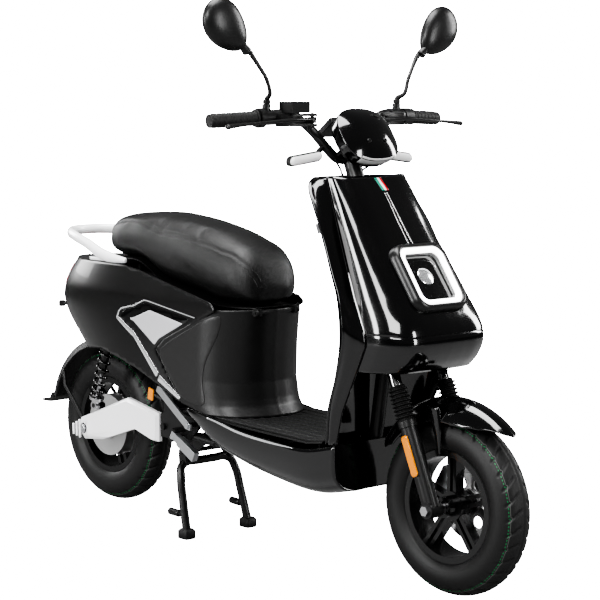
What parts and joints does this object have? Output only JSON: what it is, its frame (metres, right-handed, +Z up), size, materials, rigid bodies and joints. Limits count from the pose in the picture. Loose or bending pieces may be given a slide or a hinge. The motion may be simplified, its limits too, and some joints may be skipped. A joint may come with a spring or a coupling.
{
  "type": "moped scooter",
  "caption": "Electric moped scooter with step-through deck, fork steering, hub-motor rear wheel on a swingarm, hinged seat, levers, mirrors and folding centre stand.",
  "frame": {"origin": "on the floor under the middle of the bounding box", "axes": "+X forward, +Y to the rider's left, +Z up"},
  "size_m": [1.7599, 0.8166, 1.3519],
  "materials": {
    "frame_paint": "satin black powder coat",
    "bearing_steel": "ground",
    "battery_case": "textured dark plastic",
    "black_plastic": "fine-grained black plastic",
    "gloss_black": "glossy black lacquer",
    "satin_black": "satin black lacquer",
    "column_grey": "satin dark grey",
    "mat_rubber": "ribbed rubber",
    "alu": "satin silver",
    "lens": "clear and white lens in a chrome bezel",
    "red_lens": "red lens",
    "white_lens": "frosted clear lens",
    "leather": "black leatherette",
    "chrome": "chrome plated",
    "cast_black": "black cast metal",
    "grip_rubber": "ribbed rubber",
    "hose": "smooth hose",
    "steel": "plain",
    "tyre": "tyre rubber",
    "rim_black": "black cast alloy",
    "silver_paint": "silver-white paint",
    "button": "moulded button"
  },
  "bodies": {
    "chassis": {"frame": "frame_paint", "head_bearings": "bearing_steel", "battery": "battery_case", "controller": "alu", "deck": "black_plastic", "deck_mat": "mat_rubber", "belly_pan": "black_plastic", "leg_shield": "gloss_black", "front_panel": "gloss_black", "headlight": "lens", "seat_column": "column_grey", "rear_body": "satin_black", "trim_strips": "alu", "rear_lights": "red_lens", "grab_rail": "silver_paint", "peg_brackets": "alu"},
    "key": {"ignition_key": "steel"},
    "seat": {"seat_base": "black_plastic", "seat_cushion": "leather"},
    "steering": {"fork_upper": "chrome", "handlebar": "cast_black", "visor": "gloss_black", "display": "black_plastic", "front_indicators": "white_lens", "perch_right": "cast_black", "perch_left": "cast_black", "switch_left": "black_plastic", "grip_left": "grip_rubber", "brake_hoses": "hose", "mirror_stems": "cast_black"},
    "throttle": {"throttle_grip": "grip_rubber"},
    "right_lever": {"lever_right": "cast_black"},
    "left_lever": {"lever_left": "cast_black"},
    "right_mirror": {"mirror_head_right": "gloss_black"},
    "left_mirror": {"mirror_head_left": "gloss_black"},
    "horn": {"horn_button": "button"},
    "turn": {"turn_switch": "button"},
    "fork_lower": {"fork_sliders": "cast_black", "front_caliper": "alu", "front_fender": "gloss_black", "fork_bellows": "grip_rubber", "front_axle": "steel"},
    "front_wheel": {"front_tyre": "tyre", "front_rim": "rim_black", "front_disc": "steel"},
    "rear_arm": {"swingarm": "frame_paint", "swingarm_covers": "silver_paint", "motor_stator": "alu", "rear_fender": "black_plastic"},
    "rear_wheel": {"rear_tyre": "tyre", "rear_hub": "rim_black"},
    "right_shock": {"shock_body_right": "cast_black", "shock_spring_right": "cast_black"},
    "right_rod": {"shock_rod_right": "steel"},
    "left_shock": {"shock_body_left": "cast_black", "shock_spring_left": "cast_black"},
    "left_rod": {"shock_rod_left": "steel"},
    "stand": {"center_stand": "frame_paint"},
    "right_peg": {"peg_right": "alu"},
    "left_peg": {"peg_left": "alu"}
  },
  "joints": [
    {"name": "steering_turn", "type": "hinge", "parent": "chassis", "child": "steering", "pos_m": [0.35654, 0, 0.9], "axis": [-0.3907, 0, 0.9205], "range_deg": [-38, 38]},
    {"name": "front_suspension", "type": "slide", "parent": "steering", "child": "fork_lower", "axis": [-0.3907, 0, 0.9205], "range_m": [0, 0.04], "stiffness_N_per_m": 9000, "springref_m": -0.05, "deforming": ["fork_bellows"]},
    {"name": "front_wheel_spin", "type": "hinge", "parent": "fork_lower", "child": "front_wheel", "pos_m": [0.672, 0, 0.208], "axis": [0, 1, 0], "continuous": true},
    {"name": "rear_suspension", "type": "hinge", "parent": "chassis", "child": "rear_arm", "pos_m": [-0.25, 0, 0.283], "axis": [0, 1, 0], "range_deg": [0, 6], "stiffness_Nm_per_rad": 900, "springref_deg": -11.46},
    {"name": "rear_wheel_spin", "type": "hinge", "parent": "rear_arm", "child": "rear_wheel", "pos_m": [-0.594, 0, 0.235], "axis": [0, 1, 0], "continuous": true},
    {"name": "right_shock_swing", "type": "hinge", "parent": "chassis", "child": "right_shock", "pos_m": [-0.487, -0.116, 0.476], "axis": [0, 1, 0], "range_deg": [0, 2.65]},
    {"name": "right_shock_stroke", "type": "slide", "parent": "right_shock", "child": "right_rod", "axis": [0.3179, 0, 0.9481], "range_m": [0, 0.03098], "deforming": ["shock_spring_right"]},
    {"name": "left_shock_swing", "type": "hinge", "parent": "chassis", "child": "left_shock", "pos_m": [-0.487, 0.116, 0.476], "axis": [0, 1, 0], "range_deg": [0, 2.65]},
    {"name": "left_shock_stroke", "type": "slide", "parent": "left_shock", "child": "left_rod", "axis": [0.3179, 0, 0.9481], "range_m": [0, 0.03098], "deforming": ["shock_spring_left"]},
    {"name": "seat_open", "type": "hinge", "parent": "chassis", "child": "seat", "pos_m": [0.055, 0, 0.601], "axis": [0, 1, 0], "range_deg": [0, 60]},
    {"name": "stand_fold", "type": "hinge", "parent": "chassis", "child": "stand", "pos_m": [-0.228, 0, 0.214], "axis": [0, 1, 0], "range_deg": [0, 76]},
    {"name": "right_lever_pull", "type": "hinge", "parent": "steering", "child": "right_lever", "pos_m": [0.306, -0.112, 1.079], "axis": [0, 0, -1], "range_deg": [0, 11], "stiffness_Nm_per_rad": 2, "springref_deg": -11.46},
    {"name": "left_lever_pull", "type": "hinge", "parent": "steering", "child": "left_lever", "pos_m": [0.306, 0.112, 1.079], "axis": [0, 0, 1], "range_deg": [0, 11], "stiffness_Nm_per_rad": 2, "springref_deg": -11.46},
    {"name": "throttle_twist", "type": "hinge", "parent": "steering", "child": "throttle", "pos_m": [0.27, -0.14, 1.088], "axis": [-0.1218, -0.9916, -0.0435], "range_deg": [0, 75], "stiffness_Nm_per_rad": 0.3, "springref_deg": -11.46},
    {"name": "right_mirror_tilt", "type": "hinge", "parent": "steering", "child": "right_mirror", "pos_m": [0.272, -0.282, 1.234], "axis": [0, 1, 0], "range_deg": [-12, 12]},
    {"name": "left_mirror_tilt", "type": "hinge", "parent": "steering", "child": "left_mirror", "pos_m": [0.272, 0.282, 1.234], "axis": [0, 1, 0], "range_deg": [-12, 12]},
    {"name": "horn_press", "type": "slide", "parent": "steering", "child": "horn", "axis": [1, 0, 0], "range_m": [0, 0.003], "stiffness_N_per_m": 600, "springref_m": -0.002},
    {"name": "turn_signal_slide", "type": "slide", "parent": "steering", "child": "turn", "axis": [0, 1, 0], "range_m": [-0.004, 0.004]},
    {"name": "key_turn", "type": "hinge", "parent": "chassis", "child": "key", "pos_m": [0.3146, -0.072, 0.83499], "axis": [-0.9205, 0, -0.3907], "range_deg": [0, 90]},
    {"name": "right_peg_fold", "type": "hinge", "parent": "chassis", "child": "right_peg", "pos_m": [-0.178, -0.14, 0.274], "axis": [-0.475, 0, -0.88], "range_deg": [0, 90]},
    {"name": "left_peg_fold", "type": "hinge", "parent": "chassis", "child": "left_peg", "pos_m": [-0.178, 0.14, 0.274], "axis": [0.475, 0, 0.88], "range_deg": [0, 90]}
  ],
  "couplings": [
    {"joint": "right_shock_swing", "follows": "rear_suspension", "ratio": 0.3922},
    {"joint": "right_shock_stroke", "follows": "rear_suspension", "m_per_rad": 0.28822},
    {"joint": "left_shock_swing", "follows": "rear_suspension", "ratio": 0.3922},
    {"joint": "left_shock_stroke", "follows": "rear_suspension", "m_per_rad": 0.28822}
  ]
}
